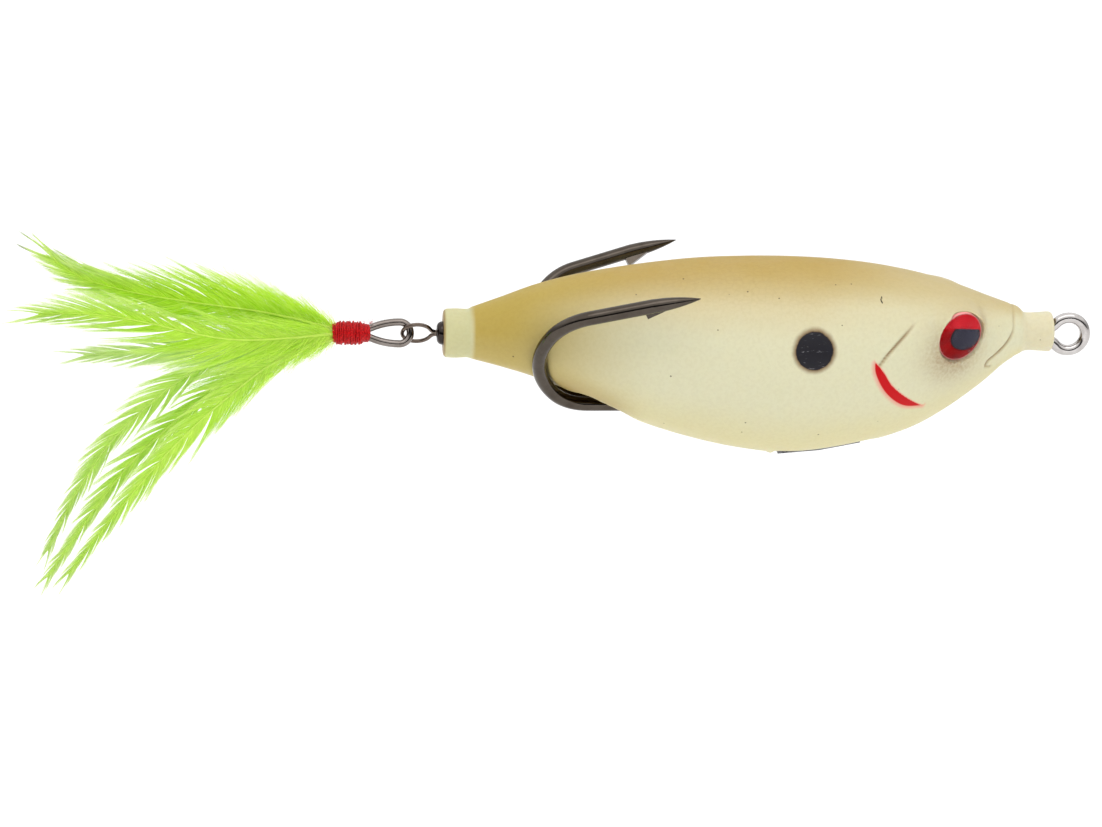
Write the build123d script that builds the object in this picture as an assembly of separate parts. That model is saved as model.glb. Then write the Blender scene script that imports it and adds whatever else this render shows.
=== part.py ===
from build123d import *
import os
from math import asin, atan2, cos, degrees, pi, radians, sin, sqrt

# Hollow soft-body surface lure with a feather tail.
# Millimetres. The origin is the centre of the wire eye at the nose that the line is tied to.
# +X is forward (nose), +Y is the lure's left side, +Z is its back.

os.makedirs("parts", exist_ok=True)

# ---- driving dimensions ---------------------------------------------------------------------

WALL = 1.3                 # skin thickness of the hollow body
FIT = 0.02                 # air between wires and the holes that hold them

COLLAR_END = -1.85         # nose collar: moulded tube round the line-tie wire
COLLAR_START = -5.9
COLLAR_R = 2.15
COLLAR_Z = 0.3

NECK_END = -67.0           # tail neck: moulded tube round the swivel
NECK_START = -63.9
NECK_R = 2.6

EYE_CENTRE = (-12.8, -6.75, 1.5)     # right eye; the left one mirrors it
EYE_YAW = 26.0                       # eye axis turned forward from straight out
EYE_DROP = 10.3                      # and tipped down
EYE_R = 2.66
DISC_THICK = 0.4
DOME_HEIGHT = 0.85

TIE_WIRE_R = 0.575         # stainless line-tie wire
TIE_RING_R = 1.8
TIE_LEG = 0.6

HOOK_WIRE_R = 0.75         # black double hook, one bent wire
HOOK_Z = -7.6
HOOK_SHANK_Y = 0.77
HOOK_EYE_X = -22.5
HOOK_EYE_R = 1.75
HOOK_SPLAY = 37.3          # each half leans out this far from upright
# tangent corners of the bend in the hook's plane, and the radius at each
HOOK_BEND = [(-53.9, 0.0), (-56.95, 4.2), (-57.35, 9.6), (-54.9, 14.3)]
HOOK_BEND_R = [4.6, 9.5, 9.2, 6.4]
POINT_ROOT = (-46.0, 17.2) # where the needle point starts, along and across the hook's plane
POINT_TIP = (-41.2, 18.5)

SLOT_FRONT = -47.4         # belly slot that the hook lies in
SLOT_REAR = -55.6
SLOT_HALF = 3.5

KEEL_FRONT = -22.2         # lead weight cast on the shanks
KEEL_REAR = -31.0
KEEL_HALF = 1.7

BARREL_R = 1.25            # swivel barrel
BARREL_REAR = -67.7
BARREL_FRONT = -63.0
SWIVEL_WIRE_R = 0.21
SWIVEL_LEG = 0.22
SWIVEL_RING_R = 1.55
SWIVEL_BLEND_R = 0.7
SWIVEL_ROLL = 40.0         # the rear loop's plane, turned from upright

TAIL_RING_X = -71.61       # oval ring that carries the feathers
TAIL_RING_ROLL = 15.0      # its plane leans the other way from the swivel's loop
TAIL_RING_R = 1.15
TAIL_WIRE_R = 0.4
TAIL_RING_MOUTH = 0.5      # half height of the oval where it goes under the thread
TAIL_RING_BLEND_R = 1.0

WRAP_FRONT = -74.7         # thread binding
WRAP_REAR = -78.7
WRAP_R = 1.2

# Body stations: x, half width, height of the widest line, top, bottom
BODY = [
    (-64.2, 2.70, 0.05, 2.80, -2.75),
    (-61.0, 3.60, 0.20, 3.85, -3.50),
    (-57.5, 4.85, 0.30, 5.12, -4.55),
    (-54.0, 6.05, 0.20, 6.05, -5.95),
    (-50.0, 7.30, -0.20, 6.80, -7.80),
    (-45.0, 8.75, -0.70, 7.50, -9.75),
    (-40.0, 9.75, -1.00, 8.00, -11.25),
    (-35.0, 10.30, -1.20, 8.18, -12.30),
    (-30.0, 10.45, -1.10, 8.15, -12.80),
    (-25.0, 10.10, -0.50, 7.85, -12.30),
    (-20.0, 9.30, 0.60, 7.20, -11.20),
    (-16.0, 8.20, 1.60, 6.35, -9.70),
    (-13.5, 7.20, 2.00, 5.68, -8.25),
    (-11.0, 5.95, 1.90, 4.85, -6.50),
    (-9.0, 4.80, 1.50, 4.10, -4.90),
    (-7.2, 3.65, 0.95, 3.40, -3.25),
    (-5.8, 2.60, 0.50, 2.80, -2.15),
]

# Hackle feathers: node, layer (side offset at the root), splay to the side in degrees,
# root height, tip (x, z), bow of the quill off its chord, width
HACKLES = [
    ("hackle_middle", -0.96, -8.0, 0.05, (-111.0, 2.4), -1.2, 7.5),
    ("hackle_lower_front", -0.64, -5.3, -0.45, (-107.6, -27.2), 4.6, 6.0),
    ("hackle_short", -0.32, -2.7, -0.20, (-106.3, -2.6), -0.6, 5.0),
    ("hackle_upper_front", 0.00, 0.0, 0.45, (-108.8, 9.4), -1.6, 6.5),
    ("hackle_lower_middle", 0.32, 2.7, -0.50, (-110.2, -28.8), 4.6, 5.0),
    ("hackle_upper_rear", 0.64, 5.3, 0.35, (-110.2, 10.2), -2.0, 6.0),
    ("hackle_lower_rear", 0.96, 8.0, -0.30, (-109.4, -26.6), 5.4, 5.5),
]
HACKLE_THICK = 0.26


# ---- shared shapes --------------------------------------------------------------------------

def cross_section(x, half_width, widest, top, bottom, inset=0.0):
    """Egg-shaped body section: two half ellipses that meet on the widest line."""
    points = []
    steps = 16
    for i in range(steps):
        turn = 2 * pi * i / steps
        rise = (top if sin(turn) > 0 else -bottom) + (-widest if sin(turn) > 0 else widest)
        points.append(((half_width - inset) * cos(turn), widest + (rise - inset) * sin(turn)))
    with BuildSketch(Plane(origin=(x, 0, 0), x_dir=(0, 1, 0), z_dir=(1, 0, 0))) as section:
        with BuildLine():
            Spline(*points, periodic=True)
        make_face()
    return section.sketch


def round_bar(radius, x0, x1, z=0.0):
    """Cylinder along X from x0 to x1."""
    bar = Plane(origin=(x0, 0, z), z_dir=(1, 0, 0)) * Cylinder(
        radius, x1 - x0, align=(Align.CENTER, Align.CENTER, Align.MIN))
    return bar


def on_arc(centre, radius, angle):
    """Point of a flat circle, angle in degrees."""
    return (centre[0] + radius * cos(radians(angle)), centre[1] + radius * sin(radians(angle)))


def keyhole(ring_r, blend_r, leg):
    """Where a wire eye's ring, reverse curve and straight leg meet, in the eye's own plane."""
    reach = sqrt((ring_r + blend_r) ** 2 - (leg + blend_r) ** 2)
    lean = degrees(asin((leg + blend_r) / (ring_r + blend_r)))
    upper_centre = (-reach, leg + blend_r)
    leg_start = (-reach, leg)
    mid_blend = on_arc(upper_centre, blend_r, -90 + (90 - lean) / 2)
    ring_start = on_arc((0, 0), ring_r, 180 - lean)
    return leg_start, mid_blend, ring_start


def eye_lines(ring_r, blend_r, leg):
    """Open eye: reverse curve, ring, reverse curve; adds to the current line builder."""
    leg_start, mid_blend, ring_start = keyhole(ring_r, blend_r, leg)
    ThreePointArc(leg_start, mid_blend, ring_start)
    ThreePointArc(ring_start, (ring_r, 0), (ring_start[0], -ring_start[1]))
    ThreePointArc((ring_start[0], -ring_start[1]), (mid_blend[0], -mid_blend[1]),
                  (leg_start[0], -leg_start[1]))
    return leg_start[0]


def bent_wire(path, radius):
    """Round wire along a path of straight runs and tangent arcs."""
    return sweep(sections=Plane(origin=path @ 0, z_dir=path % 0) * Circle(radius), path=path)


def wire_eye(plane, ring_r, blend_r, leg, leg_end, radius):
    """Wire eye at the plane's origin with two legs that run along its -x to leg_end."""
    with BuildLine(plane) as run:
        start = eye_lines(ring_r, blend_r, leg)
        Line((leg_end, leg), (start, leg))
        Line((start, -leg), (leg_end, -leg))
    return bent_wire(run.wires()[0], radius)


def mirrored(shape):
    """The same piece on the lure's other side."""
    return mirror(shape, about=Plane.XZ)


# ---- hook, wires and weight -----------------------------------------------------------------

def hook_plane():
    """Plane of the right hook half: x along the shank, y from the shank to the point."""
    lean = radians(HOOK_SPLAY)
    return Plane(origin=(0, -HOOK_SHANK_Y, HOOK_Z), x_dir=(1, 0, 0),
                 z_dir=(0, -cos(lean), -sin(lean)))


def hook_limb(shank_start):
    """Path of the right half: shank, round bend and limb, up to the root of the point."""
    with BuildLine(hook_plane()) as limb:
        FilletPolyline((shank_start, 0), *HOOK_BEND, POINT_ROOT, radius=HOOK_BEND_R)
    return limb


def hook_wire():
    """One wire: right limb, open eye, left limb, up to the roots of the points."""
    shank_start = -27.0
    limb = hook_limb(shank_start)
    with BuildLine(Plane.XY.offset(HOOK_Z).shift_origin((HOOK_EYE_X, 0, HOOK_Z))) as eye:
        start = eye_lines(HOOK_EYE_R, 1.0, HOOK_SHANK_Y)
        for side in (1, -1):
            Line((shank_start - HOOK_EYE_X, side * HOOK_SHANK_Y), (start, side * HOOK_SHANK_Y))
    path = Wire([*limb.edges(), *eye.edges(), *mirrored(limb.line).edges()])
    return bent_wire(path, HOOK_WIRE_R)


def hook_point():
    """Needle point of the right half, and the barb on its inner side."""
    plane = hook_plane()
    run = (POINT_TIP[0] - POINT_ROOT[0], POINT_TIP[1] - POINT_ROOT[1])
    reach = sqrt(run[0] ** 2 + run[1] ** 2)
    root_r = HOOK_WIRE_R - 0.01
    with BuildSketch(Plane.XY) as profile:
        with BuildLine():
            Polyline((reach, 0.05), (reach, 0), (-0.4, 0), (-0.4, root_r), (0, root_r))
            ThreePointArc((0, root_r), (0.62 * reach, 0.47), (reach, 0.05))
        make_face()
    along = plane.location * Location((POINT_ROOT[0], POINT_ROOT[1], 0),
                                      (0, 0, degrees(atan2(run[1], run[0]))))
    point = along * revolve(profile.sketch, axis=Axis.X)
    with BuildSketch(plane.offset(-0.28)) as barb:
        Polygon((-43.4, 17.75), (-46.4, 15.35), (-46.9, 16.6), align=None)
    return point + extrude(barb.sketch, amount=0.56)


def make_hook():
    """Double hook: the bent wire with a barbed point at each end."""
    point = hook_point()
    return hook_wire() + point + mirrored(point)


def make_line_tie():
    """Nose eye: a ring outside, two legs through the collar, and a bend round the hook's eye."""
    link = (HOOK_EYE_X + HOOK_EYE_R, HOOK_Z)
    bend_r = 1.45
    knee = -8.4
    run_length = sqrt((knee - link[0]) ** 2 + link[1] ** 2)
    back = ((link[0] - knee) / run_length, link[1] / run_length)
    above = (back[1], -back[0])
    corners = [(link[0] + bend_r * (back[0] + side * above[0]),
                link[1] + bend_r * (back[1] + side * above[1])) for side in (1, -1)]
    with BuildLine(Plane.XZ) as run:
        start = eye_lines(TIE_RING_R, 1.56, TIE_LEG)
        FilletPolyline((start, TIE_LEG), (knee, TIE_LEG), corners[0], corners[1],
                       (knee + 0.5, -TIE_LEG), (start - 0.05, -TIE_LEG),
                       radius=[3.0, bend_r - 0.02, bend_r - 0.02, 3.0])
    return bent_wire(run.wires()[0], TIE_WIRE_R)


def make_tail_wire():
    """Folded wire from the weight to the swivel: an eye at the rear, both legs in the lead."""
    rear = (-60.55, 0.0)
    lead = (-30.0, -5.6)
    length = sqrt((lead[0] - rear[0]) ** 2 + (lead[1] - rear[1]) ** 2)
    toward = ((lead[0] - rear[0]) / length, (lead[1] - rear[1]) / length)
    plane = Plane(origin=(rear[0], 0, rear[1]), x_dir=(-toward[0], 0, -toward[1]),
                  z_dir=(0, 1, 0))
    return wire_eye(plane, 0.85, 1.2, 0.42, -length, TAIL_WIRE_R)


def make_keel_weight(hook, tail_wire):
    """Lead cast round the shanks, with a keel that reaches down into the belly slot."""
    saddle_front = HOOK_EYE_X - HOOK_EYE_R - HOOK_WIRE_R - 0.5
    saddle = round_bar(2.35, KEEL_REAR, saddle_front, HOOK_Z + 0.3)
    saddle = fillet(saddle.edges(), 0.8)
    with BuildSketch(Plane.XZ) as side:
        with BuildLine():
            Polyline((KEEL_REAR, HOOK_Z), (KEEL_REAR, -13.0), (-26.5, -12.6),
                     (KEEL_FRONT, -11.75), (KEEL_FRONT, -10.4), (saddle_front, -8.9),
                     (saddle_front, HOOK_Z), close=True)
        make_face()
    keel = extrude(side.sketch, amount=KEEL_HALF, both=True)
    low = [e for e in keel.edges() if e.center().Z < -11.5 and abs(e.center().Y) > 1]
    keel = fillet(low, 0.45)
    return saddle + keel - hook - tail_wire


# ---- swivel ---------------------------------------------------------------------------------

def make_barrel():
    """Barrel with two domed ends, hollow inside, with a round hole for each eye's stem."""
    stem_hole = SWIVEL_WIRE_R + SWIVEL_LEG + 0.05
    barrel = round_bar(BARREL_R, BARREL_REAR, BARREL_FRONT)
    barrel = fillet(barrel.edges(), 0.62)
    barrel -= round_bar(0.95, BARREL_REAR + 0.45, BARREL_FRONT - 0.45)
    return barrel - round_bar(stem_hole, BARREL_REAR - 1, BARREL_FRONT + 1)


def rear_eye_plane(x):
    """Plane of the rear loop: its closed end points back, its sides lean."""
    lean = radians(SWIVEL_ROLL)
    return Plane(origin=(x, 0, 0), x_dir=(-1, 0, 0), z_dir=(0, cos(lean), sin(lean)))


def make_rear_eye():
    """Rear loop of the swivel, its two stems and the bead that holds them in the barrel."""
    centre = BARREL_REAR - 0.02 + keyhole(SWIVEL_RING_R, SWIVEL_BLEND_R, SWIVEL_LEG)[0][0]
    bead_x = BARREL_REAR + 0.5
    loop = wire_eye(rear_eye_plane(centre), SWIVEL_RING_R, SWIVEL_BLEND_R, SWIVEL_LEG,
                    centre - bead_x - 0.3, SWIVEL_WIRE_R)
    return loop + round_bar(0.8, bead_x, bead_x + 0.7)


def make_front_eye():
    """Front loop of the swivel, inside the body, with its bead."""
    centre = -61.6
    bead_x = BARREL_FRONT - 0.5
    loop = wire_eye(Plane(origin=(centre, 0, 0), x_dir=(1, 0, 0), z_dir=(0, 0, 1)),
                    0.85, 0.7, SWIVEL_LEG, bead_x - 0.3 - centre, SWIVEL_WIRE_R)
    return loop + round_bar(0.8, bead_x - 0.7, bead_x)


# ---- feather dressing -----------------------------------------------------------------------

def make_tail_ring():
    """Almond-shaped ring: a round front, long flat arcs, and wire ends under the thread."""
    lean = radians(TAIL_RING_ROLL)
    plane = Plane(origin=(TAIL_RING_X, 0, 0), x_dir=(1, 0, 0), z_dir=(0, -cos(lean), sin(lean)))
    mouth_x = WRAP_FRONT - TAIL_RING_X
    fall = TAIL_RING_R - TAIL_RING_MOUTH
    side_r = (mouth_x ** 2 + fall ** 2) / (2 * fall)
    slope = asin(-mouth_x / side_r)
    leg = TAIL_RING_MOUTH - TAIL_RING_BLEND_R * (1 - cos(slope))
    leg_x = mouth_x - TAIL_RING_BLEND_R * sin(slope)
    leg_end = WRAP_REAR + 0.5 - TAIL_RING_X
    mid_blend = on_arc((leg_x, leg + TAIL_RING_BLEND_R), TAIL_RING_BLEND_R,
                       -90 + degrees(slope) / 2)
    mid_side = on_arc((0, TAIL_RING_R - side_r), side_r, 90 + degrees(slope) / 2)
    with BuildLine(plane) as run:
        ThreePointArc((0, TAIL_RING_R), (TAIL_RING_R, 0), (0, -TAIL_RING_R))
        for side in (1, -1):
            ThreePointArc((0, side * TAIL_RING_R), (mid_side[0], side * mid_side[1]),
                          (mouth_x, side * TAIL_RING_MOUTH))
            ThreePointArc((mouth_x, side * TAIL_RING_MOUTH), (mid_blend[0], side * mid_blend[1]),
                          (leg_x, side * leg))
            Line((leg_x, side * leg), (leg_end, side * leg))
    return bent_wire(run.wires()[0], TAIL_WIRE_R)


def make_thread_wrap(ring):
    """Thread bound over the ring's wire ends: a slightly bellied sleeve."""
    middle = (WRAP_FRONT + WRAP_REAR) / 2
    with BuildSketch(Plane.XZ) as profile:
        with BuildLine():
            Line((WRAP_REAR, 0), (WRAP_REAR, WRAP_R - 0.12))
            ThreePointArc((WRAP_REAR, WRAP_R - 0.12), (middle - 0.5, WRAP_R),
                          (WRAP_FRONT, WRAP_R - 0.2))
            Line((WRAP_FRONT, WRAP_R - 0.2), (WRAP_FRONT, 0))
            Line((WRAP_FRONT, 0), (WRAP_REAR, 0))
        make_face()
    return revolve(profile.sketch, axis=Axis.X) - ring


def make_hackle(layer, splay, root_z, tip, bow, width):
    """One hackle feather: a thin curved blade from the thread to its tip."""
    root_x = WRAP_REAR - 0.04
    run = (tip[0] - root_x, tip[1] - root_z)
    length = sqrt(run[0] ** 2 + run[1] ** 2)
    across = (run[1] / length, -run[0] / length)
    middle = (root_x + run[0] / 2 + bow * across[0], root_z + run[1] / 2 + bow * across[1])
    edges = [(middle[0] + side * width / 2 * across[0], middle[1] + side * width / 2 * across[1])
             for side in (1, -1)]
    hinge = Plane(origin=(root_x, layer, 0), x_dir=(cos(radians(splay)), -sin(radians(splay)), 0),
                  z_dir=(-sin(radians(splay)), -cos(radians(splay)), 0))
    with BuildSketch(hinge.offset(-HACKLE_THICK / 2)) as blade:
        with BuildLine():
            ThreePointArc((0, root_z + 0.12), (edges[0][0] - root_x, edges[0][1]),
                          (tip[0] - root_x, tip[1] + 0.1))
            Line((tip[0] - root_x, tip[1] + 0.1), (tip[0] - root_x, tip[1] - 0.1))
            ThreePointArc((tip[0] - root_x, tip[1] - 0.1), (edges[1][0] - root_x, edges[1][1]),
                          (0, root_z - 0.12))
            Line((0, root_z - 0.12), (0, root_z + 0.12))
        make_face()
    return extrude(blade.sketch, amount=HACKLE_THICK)


# ---- eyes -----------------------------------------------------------------------------------

def eye_plane(depth):
    """Plane across the right eye's axis; positive depth stands out from the skin."""
    yaw = radians(EYE_YAW)
    drop = radians(EYE_DROP)
    out = Vector(sin(yaw) * cos(drop), -cos(yaw) * cos(drop), -sin(drop))
    return Plane(origin=Vector(*EYE_CENTRE) + out * depth, z_dir=out)


def make_eye_disc():
    """Printed disc in the socket."""
    disc = eye_plane(-0.3 - DISC_THICK) * Cylinder(
        EYE_R, DISC_THICK, align=(Align.CENTER, Align.CENTER, Align.MIN))
    return disc


def make_eye_dome():
    """Clear resin lens on the disc: a short rim under a spherical cap."""
    rim = 0.12
    cap_rise = DOME_HEIGHT - rim
    cap_r = (EYE_R ** 2 + cap_rise ** 2) / (2 * cap_rise)
    half_way = asin(EYE_R / cap_r) / 2
    with BuildSketch(Plane.XZ) as profile:
        with BuildLine():
            Polyline((0, DOME_HEIGHT), (0, 0), (EYE_R, 0), (EYE_R, rim))
            ThreePointArc((EYE_R, rim),
                          (cap_r * sin(half_way), DOME_HEIGHT - cap_r * (1 - cos(half_way))),
                          (0, DOME_HEIGHT))
        make_face()
    return eye_plane(-0.3) * revolve(profile.sketch, axis=Axis.Z)


# ---- body -----------------------------------------------------------------------------------

def make_body():
    """Hollow soft body with its collar, neck, bores, slots and eye sockets."""
    skin = loft([cross_section(*station) for station in BODY])
    collar = round_bar(COLLAR_R, COLLAR_START - 0.6, COLLAR_END, COLLAR_Z)
    collar = fillet(collar.faces().sort_by(Axis.X)[-1].edges(), 0.45)
    neck = round_bar(NECK_R, NECK_END, NECK_START)
    neck = fillet(neck.faces().sort_by(Axis.X)[0].edges(), 0.4)
    body = skin + collar + neck

    hollow = loft([cross_section(*station, inset=WALL) for station in BODY[1:-1]])
    body -= hollow

    # bore of the collar: a slot as tall as the two wires
    tie_r = TIE_WIRE_R + FIT
    with BuildSketch(Plane(origin=(COLLAR_END + 1, 0, 0), x_dir=(0, 0, 1),
                           z_dir=(1, 0, 0))) as bore:
        SlotCenterToCenter(2 * TIE_LEG, 2 * tie_r)
    body -= extrude(bore.sketch, amount=-9.0)
    with BuildSketch(Plane(origin=(COLLAR_END + 1, 0, 0), x_dir=(0, 0, 1),
                           z_dir=(1, 0, 0))) as mouth:
        SlotCenterToCenter(2 * TIE_LEG + 0.5, 2 * tie_r)
    body -= extrude(mouth.sketch, amount=-1.9)

    # bore of the neck: the barrel is pressed in, the front loop lies free
    body -= round_bar(BARREL_R + FIT, NECK_END - 1, -60.0)

    # belly slot for the hook, open into the hollow
    slot_length = SLOT_FRONT - SLOT_REAR
    with BuildSketch(Plane.XY.offset(-14.0)) as slot:
        with Locations(((SLOT_FRONT + SLOT_REAR) / 2, 0)):
            RectangleRounded(slot_length, 2 * SLOT_HALF, 3.0)
    body -= extrude(slot.sketch, amount=12.0)
    tunnel = Box(8.0, 2 * (HOOK_SHANK_Y + HOOK_WIRE_R + 0.1), 2 * (HOOK_WIRE_R + 0.1))
    body -= Pos(SLOT_FRONT + 3.0, 0, HOOK_Z) * tunnel

    # grooves that the bends nest in, where they leave the slot
    groove = bent_wire(hook_limb(-50.0).wires()[0], HOOK_WIRE_R + 0.12)
    body = body - groove - mirrored(groove)

    # slot for the weight's keel
    with BuildSketch(Plane.XY.offset(-14.0)) as keel_slot:
        with Locations(((KEEL_FRONT + KEEL_REAR) / 2, 0)):
            Rectangle(KEEL_FRONT - KEEL_REAR + 0.1, 2 * KEEL_HALF + 0.1)
    body -= extrude(keel_slot.sketch, amount=6.0)

    # eye sockets
    socket = eye_plane(-0.3 - DISC_THICK) * Cylinder(
        EYE_R + 0.05, 4.0, align=(Align.CENTER, Align.CENTER, Align.MIN))
    return body - socket - mirrored(socket)


# ---- write the pieces -----------------------------------------------------------------------

hook = make_hook()
tail_wire = make_tail_wire()
tail_ring = make_tail_ring()
eye_disc = make_eye_disc()
eye_dome = make_eye_dome()

pieces = {
    "body_shell": make_body(),
    "line_tie": make_line_tie(),
    "double_hook": hook,
    "keel_weight": make_keel_weight(hook, tail_wire),
    "tail_wire": tail_wire,
    "swivel_barrel": make_barrel(),
    "swivel_front_eye": make_front_eye(),
    "swivel_rear_eye": make_rear_eye(),
    "tail_ring": tail_ring,
    "thread_wrap": make_thread_wrap(tail_ring),
    "right_eye_disc": eye_disc,
    "left_eye_disc": mirrored(eye_disc),
    "right_eye_dome": eye_dome,
    "left_eye_dome": mirrored(eye_dome),
}
for name, layer, splay, root_z, tip, bow, width in HACKLES:
    pieces[name] = make_hackle(layer, splay, root_z, tip, bow, width)

for name, shape in pieces.items():
    export_step(shape, f"parts/{name}.step")
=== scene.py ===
import math

import bpy
import numpy as np
from mathutils import Matrix, Vector


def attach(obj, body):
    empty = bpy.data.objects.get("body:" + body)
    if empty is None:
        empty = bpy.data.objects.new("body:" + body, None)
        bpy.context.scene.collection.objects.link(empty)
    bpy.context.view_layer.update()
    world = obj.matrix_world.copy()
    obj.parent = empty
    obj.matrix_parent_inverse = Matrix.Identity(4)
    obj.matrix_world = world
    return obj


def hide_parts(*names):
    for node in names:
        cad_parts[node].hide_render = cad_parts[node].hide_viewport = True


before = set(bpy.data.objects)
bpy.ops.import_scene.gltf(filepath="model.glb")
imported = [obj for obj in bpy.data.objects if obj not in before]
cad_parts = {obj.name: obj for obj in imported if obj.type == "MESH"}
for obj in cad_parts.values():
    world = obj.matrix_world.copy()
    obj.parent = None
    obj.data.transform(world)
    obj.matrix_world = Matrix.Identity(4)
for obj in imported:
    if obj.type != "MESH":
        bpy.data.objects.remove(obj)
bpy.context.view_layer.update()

# Looks for a hollow soft-body surface lure with a feather tail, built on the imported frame.
# Lengths below are millimetres and are turned into metres when a mesh is made.
# +X is the nose, +Y the lure's left side, +Z its back; the origin is the line-tie eye's centre.

MM = 0.001
rng = np.random.default_rng(20)

# ---- driving dimensions ---------------------------------------------------------------------

NECK_END = -67.0
NECK_R = 2.6
NECK_BORE = 1.27
COLLAR_END = -1.85
COLLAR_Z = 0.3
TIE_LEG = 0.6
TIE_R = 0.6
HOOK_Z = -7.6
HOOK_SHANK_Y = 0.77
HOOK_WIRE_R = 0.75
HOOK_SPLAY = math.radians(37.3)
SLOT = (-53.2, -46.6, 3.5)           # rear, front, half width of the belly slot
KEEL = (-31.0, -22.2, 1.7)           # rear, front, half width of the keel's slot
EYE_CENTRE = np.array((-12.8, -6.75, 1.5))
EYE_YAW = math.radians(26.0)
EYE_DROP = math.radians(10.3)
EYE_ROLL = math.radians(17.0)        # lean of the print in its socket
EYE_R = 2.66
DISC_DEPTH = 0.3                     # the printed face below the eye's centre
SEAT_DEPTH = 0.78                    # the socket's floor below it
SPOT_CENTRE = (-28.84, 0.95)         # side spot, along and up
SPOT_R = 1.98
WRAP_FRONT = -74.7
WRAP_REAR = -78.7
WRAP_R = 1.2

# Body stations: x, half width, height of the widest line, top, bottom
STATIONS = np.array([
    (-64.2, 2.66, 0.03, 2.72, -2.66),
    (-61.0, 3.60, 0.20, 3.85, -3.50),
    (-57.5, 4.85, 0.30, 5.12, -4.55),
    (-54.0, 6.05, 0.20, 6.05, -5.95),
    (-50.0, 7.30, -0.20, 6.80, -7.80),
    (-45.0, 8.75, -0.70, 7.50, -9.75),
    (-40.0, 9.75, -1.00, 8.00, -11.25),
    (-35.0, 10.30, -1.20, 8.18, -12.30),
    (-30.0, 10.45, -1.10, 8.15, -12.80),
    (-25.0, 10.10, -0.50, 7.85, -12.30),
    (-20.0, 9.30, 0.60, 7.20, -11.20),
    (-16.0, 8.20, 1.60, 6.35, -9.70),
    (-13.5, 7.20, 2.00, 5.68, -8.25),
    (-11.0, 5.95, 1.90, 4.85, -6.50),
    (-9.0, 4.80, 1.50, 4.15, -4.90),
    (-7.2, 3.70, 0.95, 3.55, -3.25),
    (-5.9, 2.90, 0.55, 3.12, -2.30),
])

# Creases and painted marks on the right side, each a line on the skin
GILL_CREASE = [(-18.0, -8.15, 3.55), (-18.4, -8.28, 3.09), (-19.2, -8.8, 2.3),
               (-20.17, -9.27, 1.31), (-21.1, -9.5, 0.3), (-21.8, -9.56, -0.68)]
MOUTH_CREASE = [(-6.25, 0.0, 3.2), (-6.38, -0.9, 3.0), (-6.56, -2.38, 2.32),
                (-6.75, -3.25, 1.13), (-7.68, -3.76, -0.38), (-8.6, -4.15, -1.25),
                (-9.48, -4.36, -1.93), (-9.62, -4.22, -2.35), (-9.01, -3.73, -2.54)]
RED_OUTER = [(-22.35, -0.45), (-22.3, -1.2), (-21.84, -2.43), (-20.52, -4.36),
             (-18.64, -5.75), (-16.55, -6.05)]
RED_INNER = [(-22.2, -0.45), (-21.56, -1.2), (-20.44, -2.93), (-18.82, -4.5), (-17.6, -5.4),
             (-16.55, -6.05)]
BACK_MARK = [(-21.38, -6.1, 5.75), (-21.5, -6.2, 5.6), (-21.5, -6.4, 5.45),
             (-21.42, -6.55, 5.32)]
RIDGE = [(-25.5, -8.4, 3.9), (-22.85, -7.93, 4.4), (-19.57, -7.15, 4.73), (-16.23, -6.16, 4.78),
         (-13.0, -5.0, 4.5), (-9.7, -3.2, 3.75)]

# Feathers: the CAD nodes, the layer and splay of each, the quill's line (along, up), half width
# of the upper and lower vane, share of the quill that is down, paleness, olive tip
FEATHERS = [
    ("hackle_lower_rear", 0.96, 8.0, [(-78.0, -0.3), (-84.2, -1.3), (-89.4, -3.0), (-94.0, -5.7),
     (-98.4, -9.5), (-102.2, -13.6), (-105.4, -18.6), (-108.0, -23.8), (-109.0, -26.2)],
     2.0, 1.8, 0.30, 0.45, 0.0),
    ("hackle_upper_rear", 0.64, 5.3, [(-78.0, 0.3), (-85.8, 1.9), (-92.6, 3.0), (-97.8, 3.6),
     (-103.1, 4.9), (-106.6, 6.4), (-108.4, 7.4)],
     3.2, 3.0, 0.30, 0.15, 1.0),
    ("hackle_lower_middle", 0.32, 2.7, [(-78.0, -0.4), (-82.1, -1.3), (-85.5, -2.6), (-88.9, -4.7),
     (-92.6, -7.8), (-96.3, -11.1), (-99.7, -14.6), (-103.2, -19.2), (-106.4, -24.0),
     (-109.0, -28.0)], 2.0, 1.8, 0.25, 0.3, 0.0),
    ("hackle_upper_front", 0.0, 0.0, [(-78.0, 0.4), (-86.3, 2.3), (-94.0, 3.4), (-100.9, 4.7),
     (-105.4, 6.2), (-107.8, 7.8)],
     3.1, 3.0, 0.30, 0.0, 0.0),
    ("hackle_short", -0.32, -2.7, [(-78.0, -0.2), (-86.3, -1.0), (-93.6, -1.6), (-99.9, -1.8),
     (-104.8, -2.0)], 2.4, 2.4, 0.40, 0.75, 0.0),
    ("hackle_lower_front", -0.64, -5.3, [(-78.0, -0.4), (-82.1, -1.6), (-85.2, -3.1),
     (-88.9, -5.9), (-92.6, -9.1), (-95.8, -12.3), (-98.9, -15.9), (-103.2, -21.3),
     (-106.6, -25.8)], 2.0, 2.2, 0.30, 0.2, 0.0),
    ("hackle_middle", -0.96, -8.0, [(-78.0, 0.1), (-84.2, -0.1), (-89.1, 0.0), (-93.6, 0.9),
     (-97.8, 2.1), (-103.0, 3.2), (-106.4, 3.5), (-109.4, 3.5)],
     3.1, 3.2, 0.28, 0.1, 0.0),
]


# ---- helpers --------------------------------------------------------------------------------

def linear(red, green, blue):
    """sRGB bytes to the linear colour that a shader takes."""
    out = []
    for byte in (red, green, blue):
        c = byte / 255.0
        out.append(c / 12.92 if c <= 0.04045 else ((c + 0.055) / 1.055) ** 2.4)
    return (*out, 1.0)


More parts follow.
